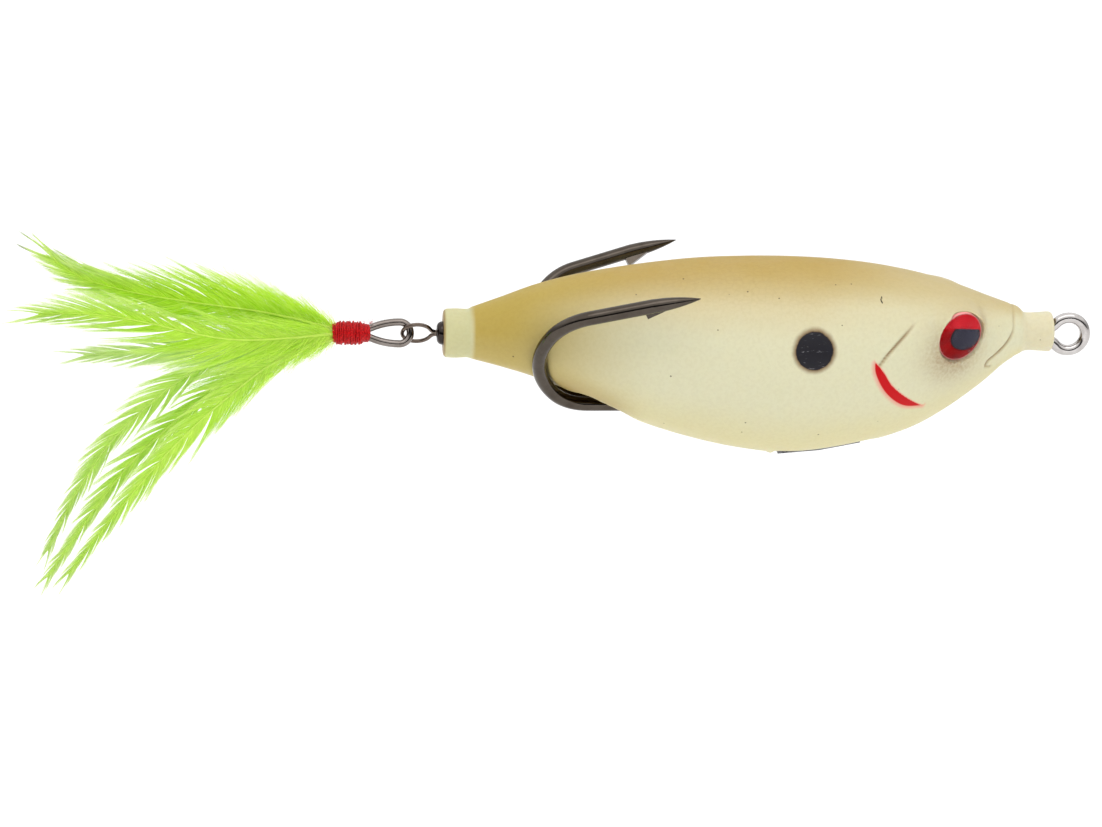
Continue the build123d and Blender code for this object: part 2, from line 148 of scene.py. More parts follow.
def smoothstep(a, b, v):
    s = np.clip((v - a) / (b - a), 0.0, 1.0)
    return s * s * (3 - 2 * s)


def hermite(table, xs):
    """Smooth curve through the rows of table (first column rises), at each x."""
    x = table[:, 0]
    slopes = np.gradient(table, x, axis=0)
    k = np.clip(np.searchsorted(x, xs) - 1, 0, len(x) - 2)
    h = (x[k + 1] - x[k])[:, None]
    u = ((xs - x[k]) / (x[k + 1] - x[k]))[:, None]
    return ((2 * u ** 3 - 3 * u ** 2 + 1) * table[k] + (u ** 3 - 2 * u ** 2 + u) * h * slopes[k]
            + (3 * u ** 2 - 2 * u ** 3) * table[k + 1] + (u ** 3 - u ** 2) * h * slopes[k + 1])


def smooth_line(points, count):
    """Evenly spaced points on a smooth curve through the given ones."""
    p = np.asarray(points, float)
    s = np.concatenate([[0], np.cumsum(np.linalg.norm(np.diff(p, axis=0), axis=1))])
    dense = hermite(np.column_stack([s, p]), np.linspace(0, s[-1], 400))[:, 1:]
    length = np.concatenate([[0], np.cumsum(np.linalg.norm(np.diff(dense, axis=0), axis=1))])
    at = np.linspace(0, length[-1], count)
    return np.column_stack([np.interp(at, length, dense[:, i]) for i in range(p.shape[1])])


def line_distance(points, line):
    """Distance of each point from a polyline, and how far along it the nearest place is, 0-1."""
    best = np.full(len(points), 1e9)
    where = np.zeros(len(points))
    for i in range(len(line) - 1):
        a, b = line[i], line[i + 1]
        ab = b - a
        t = np.clip((points - a) @ ab / (ab @ ab), 0, 1)
        d = np.linalg.norm(points - a - t[:, None] * ab, axis=1)
        near = d < best
        best[near] = d[near]
        where[near] = (i + t[near]) / (len(line) - 1)
    return best, where


def inside_polygon(points, polygon):
    """True for each flat point inside the closed polygon."""
    inside = np.zeros(len(points), bool)
    for (x0, z0), (x1, z1) in zip(polygon, np.roll(polygon, -1, axis=0)):
        crosses = (z0 > points[:, 1]) != (z1 > points[:, 1])
        at = x0 + (points[:, 1] - z0) * (x1 - x0) / (z1 - z0 + 1e-12)
        inside ^= crosses & (points[:, 0] < at)
    return inside


def make_mesh(name, verts, faces, attributes=None, sharp=None):
    """Mesh object in metres from millimetre points, smooth shaded."""
    mesh = bpy.data.meshes.new(name)
    mesh.from_pydata((np.asarray(verts) * MM).tolist(), [], faces)
    mesh.polygons.foreach_set("use_smooth", [True] * len(mesh.polygons))
    for key, values in (attributes or {}).items():
        layer = mesh.attributes.new(key, "FLOAT", "POINT")
        layer.data.foreach_set("value", np.asarray(values, np.float32))
    if sharp is not None:
        mesh.set_sharp_from_angle(angle=math.radians(sharp))
    mesh.update()
    obj = bpy.data.objects.new(name, mesh)
    bpy.context.scene.collection.objects.link(obj)
    return obj


def grid_faces(rows, cols, wrap=True):
    """Quads of a grid of rows x cols points; wrap joins the last column to the first."""
    r = np.arange(rows - 1)[:, None]
    c = np.arange(cols if wrap else cols - 1)[None, :]
    n = (c + 1) % cols
    quads = np.stack([r * cols + c, r * cols + n, (r + 1) * cols + n, (r + 1) * cols + c], -1)
    return quads.reshape(-1, 4).tolist()


# ---- node helpers ---------------------------------------------------------------------------

class Shade:
    """Short way to build a material's node tree."""

    def __init__(self, name):
        self.material = bpy.data.materials.new(name)
        self.material.use_nodes = True
        self.tree = self.material.node_tree
        self.tree.nodes.clear()
        self.out = self.tree.nodes.new("ShaderNodeOutputMaterial")

    def node(self, kind, inputs=None, **settings):
        made = self.tree.nodes.new(kind)
        for key, value in settings.items():
            setattr(made, key, value)
        for key, value in (inputs or {}).items():
            self.put(made.inputs[key], value)
        return made

    def put(self, socket, value):
        if isinstance(value, bpy.types.NodeSocket):
            self.tree.links.new(value, socket)
        else:
            socket.default_value = value

    def attribute(self, name):
        return self.node("ShaderNodeAttribute", attribute_name=name).outputs["Fac"]

    def where(self):
        return self.node("ShaderNodeTexCoord").outputs["Object"]

    def math(self, operation, a, b=0.0, clamp=False):
        return self.node("ShaderNodeMath", {0: a, 1: b}, operation=operation,
                         use_clamp=clamp).outputs[0]

    def step(self, value, low, high, to_low=0.0, to_high=1.0):
        return self.node("ShaderNodeMapRange", {"Value": value, "From Min": low, "From Max": high,
                         "To Min": to_low, "To Max": to_high},
                         interpolation_type="SMOOTHSTEP").outputs["Result"]

    def mix(self, factor, a, b, blend="MIX"):
        made = self.node("ShaderNodeMix", data_type="RGBA", blend_type=blend)
        self.put(made.inputs[0], factor)
        self.put(made.inputs[6], a)
        self.put(made.inputs[7], b)
        return made.outputs[2]

    def noise(self, scale, detail=3.0, roughness=0.5, vector=None):
        return self.node("ShaderNodeTexNoise", {"Vector": vector or self.where(), "Scale": scale,
                         "Detail": detail, "Roughness": roughness}).outputs["Fac"]

    def bump(self, height, strength, distance, normal=None):
        inputs = {"Height": height, "Strength": strength, "Distance": distance}
        if normal is not None:
            inputs["Normal"] = normal
        return self.node("ShaderNodeBump", inputs).outputs["Normal"]

    def dot(self, vector, axis):
        return self.node("ShaderNodeVectorMath", {0: vector, 1: axis},
                         operation="DOT_PRODUCT").outputs["Value"]

    def surface(self, **inputs):
        names = {key.replace("_", " ").title(): value for key, value in inputs.items()}
        names = {("IOR" if key == "Ior" else key.replace("Ior", "IOR")): value
                 for key, value in names.items()}
        shader = self.node("ShaderNodeBsdfPrincipled", names)
        self.tree.links.new(shader.outputs[0], self.out.inputs["Surface"])
        return shader


def paint(obj, material):
    obj.data.materials.clear()
    obj.data.materials.append(material)


# ---- skin -----------------------------------------------------------------------------------

def row_positions():
    """Where the body's rings stand: close together where the skin has fine relief."""
    spans = [(-64.0, -56.6, 24), (-56.6, -46.4, 66), (-46.4, -32.0, 28), (-32.0, -24.0, 34),
             (-24.0, -18.0, 44), (-18.0, -8.0, 84), (-8.0, -5.9, 20)]
    return np.concatenate([np.linspace(a, b, n, endpoint=False) for a, b, n in spans] + [[-5.9]])


def body_rings():
    """Rings from the neck's bore to the collar's bore: x, half width, widest, top, bottom."""
    r, bore = NECK_R, NECK_BORE
    tail = [(NECK_END + 2.5, bore), (NECK_END + 0.5, bore), (NECK_END + 0.08, bore),
            (NECK_END, bore + 0.1), (NECK_END - 0.02, bore + 0.45), (NECK_END, r - 0.42),
            (NECK_END + 0.03, r - 0.3), (NECK_END + 0.09, r - 0.18), (NECK_END + 0.2, r - 0.08),
            (NECK_END + 0.36, r - 0.02), (NECK_END + 0.7, r), (NECK_END + 1.1, r + 0.02),
            (NECK_END + 1.5, r + 0.02), (NECK_END + 1.9, r - 0.01), (NECK_END + 2.2, r - 0.03),
            (NECK_END + 2.5, r - 0.03), (NECK_END + 2.7, r)]
    rings = [(x, q, 0.0, q, -q) for x, q in tail]
    rings += [tuple(row) for row in hermite(STATIONS, row_positions())]
    rings += [(-5.72, 2.80, 0.51, 3.05, -2.20), (-5.55, 2.70, 0.48, 2.95, -2.12),
              (-5.38, 2.56, 0.44, 2.82, -2.04), (-5.24, 2.42, 0.40, 2.70, -1.96),
              (-5.12, 2.29, 0.36, 2.57, -1.89), (-5.02, 2.18, 0.33, 2.47, -1.84)]
    collar = [(-4.92, 2.10), (-4.8, 2.06), (-4.6, 2.04), (-4.3, 2.03), (-4.0, 2.03), (-3.6, 2.05),
              (-3.2, 2.08), (-2.8, 2.12), (-2.5, 2.14), (-2.3, 2.14), (-2.15, 2.12), (-2.04, 2.07),
              (-1.95, 1.99), (-1.89, 1.90), (COLLAR_END, 1.78)]
    rings += [(x, q, COLLAR_Z, COLLAR_Z + q, COLLAR_Z - q) for x, q in collar]
    return np.array(rings)


def tie_mouth(turn):
    """Outline of the collar's bore: as wide as the wire and as tall as two."""
    y = (TIE_R + 0.05) * np.cos(turn)
    z = (TIE_LEG + 0.12) * np.sign(np.sin(turn)) * np.minimum(1, np.abs(np.sin(turn)) * 3)
    return y, z + (TIE_R + 0.05) * np.sin(turn)


def hook_limb_line():
    """Centre line of the right hook half from the shank to the point, in the body's frame."""
    flat = [(-47.0, 0), (-51.5, 0), (-53.0, 0.2), (-54.4, 0.95), (-55.6, 2.3), (-56.5, 4.2),
            (-56.98, 6.4), (-57.05, 8.6), (-56.8, 10.4), (-56.1, 12.1), (-54.6, 13.85),
            (-52.5, 15.1), (-49.5, 16.1), (-46.0, 17.2), (-41.2, 18.5)]
    lean_y, lean_z = -math.sin(HOOK_SPLAY), math.cos(HOOK_SPLAY)
    line = [(x, -HOOK_SHANK_Y + y * lean_y, HOOK_Z + y * lean_z) for x, y in flat]
    return smooth_line(line, 90)


def eye_axis():
    return np.array((math.sin(EYE_YAW) * math.cos(EYE_DROP),
                     -math.cos(EYE_YAW) * math.cos(EYE_DROP), -math.sin(EYE_DROP)))


def box_inside(x, y, x0, x1, half, corner):
    """How deep each point is inside a rounded rectangle, negative outside."""
    dx = np.abs(x - (x0 + x1) / 2) - ((x1 - x0) / 2 - corner)
    dy = np.abs(y) - (half - corner)
    out = np.hypot(np.maximum(dx, 0), np.maximum(dy, 0)) + np.minimum(np.maximum(dx, dy), 0)
    return corner - out


def build_skin():
    rings = body_rings()
    columns = 272
    turn = np.linspace(0, 2 * np.pi, columns, endpoint=False) - np.pi / 2
    x, w, mid, top, low = (rings[:, i][:, None] for i in range(5))
    up = np.sin(turn)[None, :]
    rise = np.where(up > 0, top - mid, mid - low)
    grid = np.stack([np.broadcast_to(x, (len(rings), columns)), w * np.cos(turn)[None, :],
                     mid + rise * up], -1)
    height = (grid[..., 2] - low) / (top - low)

    # outward direction of the plain skin
    along = np.gradient(grid, axis=0)
    around = np.roll(grid, -1, 1) - np.roll(grid, 1, 1)
    out = np.cross(around, along)
    out /= np.linalg.norm(out, axis=2, keepdims=True) + 1e-12

    points = grid.reshape(-1, 3).copy()
    normal = out.reshape(-1, 3)
    right = points * (1, -1, 1)
    right[:, 1] = -np.abs(points[:, 1])
    head = points[:, 0] > -27
    body = (points[:, 0] > -64) & (points[:, 0] < -5.5)

    # head relief: gill crease, mouth crease and the ridge along the shoulder
    relief = np.zeros(len(points))
    # crease holds where painted shade darkens the gill and mouth creases
    crease = np.zeros(len(points))
    gill_d, gill_t = line_distance(right[head], smooth_line(GILL_CREASE, 24))
    fade = smoothstep(0, 0.25, gill_t) * 0.85 + 0.15
    relief[head] -= 0.20 * fade * np.exp(-(gill_d / 0.15) ** 2)
    crease[head] = fade * np.exp(-(gill_d / 0.14) ** 2)
    cheek = smoothstep(2.6, 0.0, gill_d) * (right[head][:, 0] > -21.8)
    ahead = smoothstep(-0.2, 0.25, (right[head][:, 0] + 18.4) * 0.74
                       - (right[head][:, 2] - 3.09) * 0.66)
    relief[head] += 0.10 * cheek * ahead
    mouth_d, mouth_t = line_distance(right[head], smooth_line(MOUTH_CREASE, 40))
    deep = 0.35 + 0.65 * smoothstep(0.0, 0.3, mouth_t) * smoothstep(1.05, 0.8, mouth_t)
    relief[head] -= 0.26 * deep * np.exp(-(mouth_d / 0.16) ** 2)
    crease[head] = np.maximum(crease[head], deep * np.exp(-(mouth_d / 0.15) ** 2))
    ridge_d, ridge_t = line_distance(right[head], smooth_line(RIDGE, 30))
    swell = smoothstep(0.0, 0.35, ridge_t) * smoothstep(1.0, 0.75, ridge_t)
    relief[head] += 0.13 * swell * np.exp(-(ridge_d / 1.2) ** 2)

    # belly slot and keel slot
    slot = box_inside(points[:, 0], points[:, 1], *SLOT, 2.4)
    under = points[:, 2] < 0
    depth = 3.4 * smoothstep(-0.28, 0.42, slot) + 0.05 * smoothstep(-0.9, -0.2, slot)
    carve = np.where(under & body, depth, 0.0)
    keel_slot = box_inside(points[:, 0], points[:, 1], KEEL[0] - 0.15, KEEL[1] + 0.15,
                           KEEL[2] + 0.12, 0.3)
    carve = np.maximum(carve, np.where(under & body, 1.2 * smoothstep(-0.12, 0.16, keel_slot), 0))
    # the skin is pressed flatter beside the weight, so the weight's edge shows
    beside = smoothstep(-32.2, -30.6, points[:, 0]) * smoothstep(-19.5, -23.5, points[:, 0])
    beside *= smoothstep(4.6, 2.2, np.abs(points[:, 1]))
    relief -= np.where(under & body, 0.34 * beside, 0)
    lip = np.exp(-((points[:, 0] + 31.75) / 0.45) ** 2 - (points[:, 1] / 2.1) ** 4)
    relief += np.where(under & body, 0.38 * lip, 0)
    points += normal * relief[:, None]
    points[:, 2] += carve

    # the hook's bends nest in shallow grooves
    limb = hook_limb_line()
    right = points.copy()
    right[:, 1] = -np.abs(points[:, 1])
    rear = (points[:, 0] < -44) & (points[:, 0] > -60)
    d, _ = line_distance(right[rear], limb)
    bite = smoothstep(HOOK_WIRE_R + 0.55, HOOK_WIRE_R, d) * (HOOK_WIRE_R + 0.12 - np.minimum(
        d, HOOK_WIRE_R + 0.12) + 0.10)
    points[rear] -= normal[rear] * bite[:, None]

    # eye sockets: a flat seat with a soft rim
    axis = eye_axis()
    flip = np.where(points[:, 1] > 0, -1.0, 1.0)
    side = points * np.column_stack([np.ones_like(flip), flip, np.ones_like(flip)])
    rel = side - EYE_CENTRE
    depth_in = rel @ axis
    radial = np.linalg.norm(rel - depth_in[:, None] * axis, axis=1)
    facing = (radial < 5) & (depth_in > -3.5)
    seat = smoothstep(EYE_R + 0.17, EYE_R + 0.03, radial) * facing
    rim = 0.16 * np.exp(-((radial - EYE_R - 0.32) / 0.26) ** 2) * facing
    move = seat * (-SEAT_DEPTH - depth_in) + rim
    # the skin is drawn to the lens's edge all round
    edge = smoothstep(EYE_R + 1.4, EYE_R + 0.15, radial) * facing * (1 - seat)
    move += edge * np.clip(-0.10 - depth_in, -0.3, 1.15) * 0.92
    side += axis * move[:, None]
    points = side * np.column_stack([np.ones_like(flip), flip, np.ones_like(flip)])

    # collar bore
    mouth_y, mouth_z = tie_mouth(turn)
    last = grid[-1]
    extra = []
    for inward, share in ((0.0, 0.35), (0.03, 0.8), (0.12, 1.0), (0.7, 1.0), (1.6, 1.0)):
        ring = np.column_stack([np.full(columns, COLLAR_END - inward),
                                last[:, 1] * (1 - share) + mouth_y * share,
                                last[:, 2] * (1 - share) + mouth_z * share])
        extra.append(ring)
    points = np.vstack([points] + extra)
    rows = len(rings) + len(extra)

    # painted marks, as distances that the shader turns into edges
    side = points.copy()
    side[:, 1] = -np.abs(points[:, 1])
    flat = side[:, (0, 2)]
    outline = np.vstack([smooth_line(RED_OUTER, 40), smooth_line(RED_INNER, 40)[::-1]])
    red_d, _ = line_distance(flat, np.vstack([outline, outline[:1]]))
    red = np.where(inside_polygon(flat, outline), red_d, -red_d)
    # only the outer edge is soft
    sharp = line_distance(flat, smooth_line(RED_INNER, 40))[0] < line_distance(
        flat, smooth_line(RED_OUTER, 40))[0]
    red = np.where(sharp & (red < 0), 4 * red, red)
    red[(side[:, 1] > -4) | (flat[:, 0] < -26) | (flat[:, 0] > -13)] = -9
    spot = np.hypot(flat[:, 0] - SPOT_CENTRE[0], flat[:, 1] - SPOT_CENTRE[1])
    spot[side[:, 1] > -6] = 99
    mark = np.full(len(points), 9.0)
    near = (flat[:, 0] > -24) & (flat[:, 0] < -19) & (points[:, 1] < -3)
    mark[near] = line_distance(flat[near], smooth_line(BACK_MARK, 12)[:, (0, 2)])[0]
    # a dark dot of painted shade where the mouth crease ends
    corner = np.linalg.norm(side - np.array(MOUTH_CREASE[-1]), axis=1)
    mark = np.minimum(mark, corner - 0.04)
    rel = side - (EYE_CENTRE + np.array((-0.9, 0.3, -1.6)))
    eye_smoke_and_rim_shadow = np.exp(-((rel[:, 0] / 2.9) ** 2 + (rel[:, 2] / 2.9) ** 2)) * (side[:, 1] < -2)
    # a painted shadow at the upper nose-side rim of the eye's socket
    rel = side - (EYE_CENTRE + np.array((2.3, 1.3, 0.7)))
    eye_smoke_and_rim_shadow = np.maximum(eye_smoke_and_rim_shadow, 0.85 * np.exp(-((rel[:, 0] / 0.55) ** 2 + (rel[:, 2] / 1.5) ** 2))
                       * (side[:, 1] < -2))
    pad = len(points) - len(relief)
    attributes = {"height": np.concatenate([height.ravel(), np.full(pad, 0.3)]),
                  "crease": np.concatenate([crease, np.zeros(pad)]),
                  # painted shade in the slots, full in the collar bore's rings
                  "recess_shade": np.concatenate([np.clip(carve / 1.2, 0, 1), np.ones(pad)]),
                  "red": red, "spot": spot, "mark": mark, "eye_smoke_and_rim_shadow": eye_smoke_and_rim_shadow}
    return make_mesh("soft_body", points, grid_faces(rows, columns), attributes, sharp=50)


def skin_material():
    s = Shade("soft_pvc")
    where = s.where()
    x = s.node("ShaderNodeSeparateXYZ", {0: where}).outputs["X"]
    height = s.attribute("height")
    blotch = s.noise(110.0, 3.0, 0.55)
    height = s.math("ADD", height, s.math("MULTIPLY", s.math("SUBTRACT", blotch, 0.5), 0.05))
    bone = linear(207, 204, 173)
    belly = linear(204, 196, 150)
    tan = linear(174, 146, 72)
    upper = linear(200, 187, 146)
    # on the head the shoulder takes less of the upper tint and the back less tan: a painted
    # highlight on the shoulder
    nose = s.step(x, -0.030, -0.012)
    base = s.mix(s.step(height, 0.05, 0.40), belly, bone)
    shoulder = s.step(x, -0.0300, -0.0200, 1.0, 0.45)
    base = s.mix(s.math("MULTIPLY", s.step(height, 0.66, 0.92), shoulder), base, upper)
    back = s.math("MULTIPLY", s.step(height, 0.83, 1.02), s.math("SUBTRACT", 1.0,
                  s.math("MULTIPLY", nose, 0.45)))
    base = s.mix(back, base, tan)
    # the tail is sprayed tan as well, more towards the neck, and the neck itself is bare
    tail = s.step(x, -0.0440, -0.0610)
    tail = s.math("MULTIPLY", tail, s.step(height, -0.1, 0.85, 0.80, 1.0))
    tail = s.math("MULTIPLY", tail, s.step(x, -0.0644, -0.0636))
    base = s.mix(tail, base, linear(175, 153, 76))
    neck = s.step(x, -0.0636, -0.0644)
    base = s.mix(neck, base, linear(193, 190, 146))
    end = s.step(x, -0.06672, -0.0670)
    base = s.mix(s.math("MULTIPLY", end, 0.75), base, linear(140, 98, 30))
    collar = s.step(x, -0.0056, -0.0050)
    base = s.mix(collar, base, linear(208, 201, 170))
    # faint pigment grain and a fine network on the back
    grain = s.noise(2600.0, 2.0, 0.6)
    base = s.mix(s.step(grain, 0.35, 0.72, 0.0, 0.07), base, linear(176, 150, 98), "MULTIPLY")
    cells = s.node("ShaderNodeTexVoronoi", {"Vector": where, "Scale": 1250.0,
                   "Randomness": 0.6}, feature="DISTANCE_TO_EDGE").outputs["Distance"]
    net = s.math("MULTIPLY", s.step(cells, 0.13, 0.02), s.step(height, 0.72, 0.95))
    net = s.math("MULTIPLY", net, s.step(s.noise(70.0, 2.0), 0.42, 0.62))
    net = s.math("MULTIPLY", net, s.step(x, -0.058, -0.046))
    base = s.mix(s.math("MULTIPLY", net, 0.05), base, linear(120, 92, 44))
    # airbrushed smoke round the eye and a painted shadow at its socket's rim; painted shade in the
    # creases, in the slots and bore, and round the belly slot
    eye_smoke_and_rim_shadow = s.attribute("eye_smoke_and_rim_shadow")
    eye_smoke_and_rim_shadow = s.math("MULTIPLY", eye_smoke_and_rim_shadow, s.step(s.noise(3200.0, 1.0, 0.6), 0.2, 0.8, 0.45, 0.85))
    base = s.mix(eye_smoke_and_rim_shadow, base, linear(132, 92, 58))
    # painted shade along the gill and mouth creases
    crease = s.attribute("crease")
    base = s.mix(s.math("MULTIPLY", crease, 0.80), base, linear(126, 82, 22))
    # painted shade inside the belly slot, the keel's slot and the collar bore
    recess_shade = s.attribute("recess_shade")
    base = s.mix(s.math("MULTIPLY", recess_shade, 0.75), base, linear(104, 76, 30))
    # painted shade on the lower flank round the belly slot and the hook's bends
    slot_shade = s.math("MULTIPLY", s.step(x, -0.0580, -0.0535), s.step(x, -0.0455, -0.0500))
    slot_shade = s.math("MULTIPLY", slot_shade, s.step(height, 0.30, 0.04))
    base = s.mix(s.math("MULTIPLY", slot_shade, 0.50), base, linear(140, 108, 48))
    # red gill mark with a soft outer edge
    red = s.attribute("red")
    base = s.mix(s.step(red, -0.60, 0.0, 0.0, 0.48), base, linear(226, 76, 88))
    base = s.mix(s.step(red, -0.08, 0.06), base, linear(186, 0, 10))
    # black side spot with a brown halo
    spot = s.attribute("spot")
    ragged = s.math("ADD", spot, s.math("MULTIPLY", s.math("SUBTRACT", s.noise(1400.0, 3.0), 0.5),
                                        0.22))
    base = s.mix(s.step(ragged, SPOT_R + 0.60, SPOT_R - 0.1, 0.0, 0.90), base,
                 linear(112, 80, 44))
    stretched = s.node("ShaderNodeMapping", {"Vector": where, "Rotation": (0.0, 0.6, 0.0),
                       "Scale": (1.0, 1.0, 5.0)}).outputs[0]
    scratch = s.step(s.noise(900.0, 4.0, 0.7, stretched), 0.60, 0.72)
    ink = s.mix(s.math("MULTIPLY", scratch, 0.75), linear(34, 33, 38), linear(136, 134, 138))
    base = s.mix(s.step(ragged, SPOT_R + 0.06, SPOT_R - 0.10), base, ink)
    # a few tiny dark specks, one short mark on the shoulder, and a dot of painted shade at the
    # mouth crease's end
    cell = s.node("ShaderNodeTexVoronoi", {"Vector": where, "Scale": 620.0})
    fleck = s.step(cell.outputs["Distance"], 0.075, 0.045)
    pick = s.node("ShaderNodeSeparateColor", {0: cell.outputs["Color"]}).outputs[0]
    fleck = s.math("MULTIPLY", fleck, s.step(pick, 0.72, 0.75))
    base = s.mix(s.math("MULTIPLY", fleck, 0.75), base, linear(58, 44, 28))
    base = s.mix(s.step(s.attribute("mark"), 0.10, 0.05), base, linear(38, 30, 22))
    fine = s.bump(s.noise(1500.0, 4.0, 0.6), 0.06, 0.00008)
    soft = s.bump(s.noise(150.0, 3.0, 0.5), 0.07, 0.00050, fine)
    rough = s.step(s.noise(420.0, 3.0), 0.3, 0.7, 0.36, 0.48)
    s.surface(base_color=base, roughness=rough, normal=soft, subsurface_weight=0.22,
              subsurface_radius=(0.0016, 0.0011, 0.0005), subsurface_scale=1.0,
              specular_ior_level=0.15)
    return s.material


# ---- eyes -----------------------------------------------------------------------------------

def eye_frame():
    axis = Vector(eye_axis())
    level = Vector((0, math.sin(EYE_ROLL), math.cos(EYE_ROLL))).cross(axis).normalized()
    upright = axis.cross(level).normalized()
    return axis, level, upright


def print_material():
    """Printed eye: red, paler at the top, with a grey pupil that has a flat top, and a pale pink
    ring of painted light round its edge.
    """
    s = Shade("eye_print")
    axis, level, upright = eye_frame()
    parts = s.node("ShaderNodeSeparateXYZ", {0: s.where()})
    mirrored = s.math("MULTIPLY", s.math("ABSOLUTE", parts.outputs["Y"]), -1.0)
    place = s.node("ShaderNodeCombineXYZ", {0: parts.outputs["X"], 1: mirrored,
                                            2: parts.outputs["Z"]}).outputs[0]
    place = s.node("ShaderNodeVectorMath", {0: place, 1: Vector(EYE_CENTRE) * MM},
                   operation="SUBTRACT").outputs[0]
    across = s.dot(place, level)
    up = s.dot(place, upright)
    r = EYE_R * MM
    # pupil: an oval towards the nose, its top cut straight
    dx = s.math("DIVIDE", s.math("SUBTRACT", across, 0.24 * r), 0.71 * r)
    dy = s.math("DIVIDE", up, 0.57 * r)
    oval = s.math("SQRT", s.math("ADD", s.math("MULTIPLY", dx, dx), s.math("MULTIPLY", dy, dy)))
    pupil = s.step(oval, 1.03, 0.97)
    pupil = s.math("MULTIPLY", pupil, s.step(up, 0.35 * r, 0.32 * r))
    ring = s.math("SQRT", s.math("ADD", s.math("MULTIPLY", across, across),
                                 s.math("MULTIPLY", up, up)))
    red = s.mix(s.step(up, -0.2 * r, 0.75 * r), linear(158, 0, 3), linear(222, 10, 24))
    red = s.mix(s.step(up, 0.30 * r, 0.40 * r, 0.0, 0.55), red, linear(240, 52, 66))
    grain = s.noise(5200.0, 2.0, 0.6)
    red = s.mix(s.step(grain, 0.35, 0.7, 0.0, 0.22), red, linear(120, 0, 8))
    grey = s.mix(s.step(grain, 0.3, 0.7), linear(52, 50, 64), linear(76, 75, 90))
    grey = s.mix(s.step(oval, 1.0, 0.82), linear(34, 28, 34), grey)
    color = s.mix(pupil, red, grey)
    # pale pink ring at the edge: painted light glowing through the lens's rim
    color = s.mix(s.step(ring, 0.94 * r, 0.965 * r), color, linear(232, 150, 148))
    s.surface(base_color=color, roughness=0.38, specular_ior_level=0.03,
              normal=s.bump(s.noise(2400.0, 2.0), 0.1, 0.00005))
    return s.material


def lens_material():
    s = Shade("eye_lens")
    wear = s.step(s.noise(1800.0, 4.0, 0.6), 0.3, 0.8, 0.015, 0.06)
    s.surface(base_color=(1, 1, 1, 1), roughness=wear, transmission_weight=1.0, ior=1.12,
              normal=s.bump(s.noise(600.0, 2.0), 0.04, 0.00005))
    return s.material


def build_lens(side, name):
    """Clear resin drop on the printed disc, with a fine rounded edge."""
    axis, level, upright = eye_frame()
    centre = Vector(EYE_CENTRE) - axis * DISC_DEPTH
    profile = [(0.0, 0.0), (0.6, 0.0), (0.9, 0.0), (0.985, 0.0), (0.999, 0.03), (1.0, 0.09),
               (0.992, 0.16), (0.97, 0.215), (0.93, 0.28), (0.86, 0.38), (0.76, 0.495),
               (0.64, 0.605), (0.5, 0.70), (0.35, 0.775), (0.2, 0.825), (0.08, 0.845), (0.0, 0.85)]
    count = 96
    verts, faces = [], []
    for ring, (q, h) in enumerate(profile[1:-1]):
        for k in range(count):
            a = 2 * math.pi * k / count
            p = centre + level * (q * EYE_R * math.cos(a)) + upright * (q * EYE_R * math.sin(a))
            verts.append(p + axis * h)
    faces = grid_faces(len(profile) - 2, count)
    back, front = len(verts), len(verts) + 1
    verts += [centre, centre + axis * profile[-1][1]]
    start = (len(profile) - 3) * count
    faces += [(back, (k + 1) % count, k) for k in range(count)]
    faces += [(start + k, start + (k + 1) % count, front) for k in range(count)]
    if side < 0:
        verts = [Vector((v.x, -v.y, v.z)) for v in verts]
        faces = [tuple(reversed(f)) for f in faces]
    return make_mesh(name, verts, faces)


# ---- metals ---------------------------------------------------------------------------------

def metal(name, color, roughness, streak, dirt):
    """Drawn wire: fine streaks along its length, slight roughness changes, soft tarnish."""
    s = Shade(name)
    where = s.where()
    drawn = s.node("ShaderNodeMapping", {"Vector": where,
                   "Scale": (0.25, 1.0, 1.0)}).outputs[0]
    lines = s.noise(4200.0, 3.0, 0.6, drawn)
    cloud = s.noise(520.0, 4.0, 0.6)
    base = s.mix(s.step(cloud, 0.35, 0.75, 0.0, 0.6), color, dirt)
    base = s.mix(s.step(lines, 0.3, 0.75, 0.0, streak), base, (0.02, 0.018, 0.015, 1))
    rough = s.step(cloud, 0.25, 0.75, roughness * 0.75, roughness * 1.35)
    s.surface(base_color=base, metallic=1.0, roughness=rough,
              normal=s.bump(lines, 0.05, 0.00004, s.bump(cloud, 0.05, 0.0001)))
    return s.material


def lead_material():
    s = Shade("cast_lead")
    cloud = s.noise(420.0, 5.0, 0.65)
    pits = s.step(s.noise(1500.0, 3.0, 0.6), 0.32, 0.45)
    base = s.mix(s.step(cloud, 0.3, 0.7), linear(70, 70, 74), linear(128, 128, 132))
    base = s.mix(pits, linear(40, 40, 43), base)
    s.surface(base_color=base, metallic=0.75, roughness=s.step(cloud, 0.3, 0.7, 0.42, 0.62),
              normal=s.bump(cloud, 0.4, 0.0002, s.bump(pits, 0.3, 0.0001)))
    return s.material


# ---- thread ---------------------------------------------------------------------------------

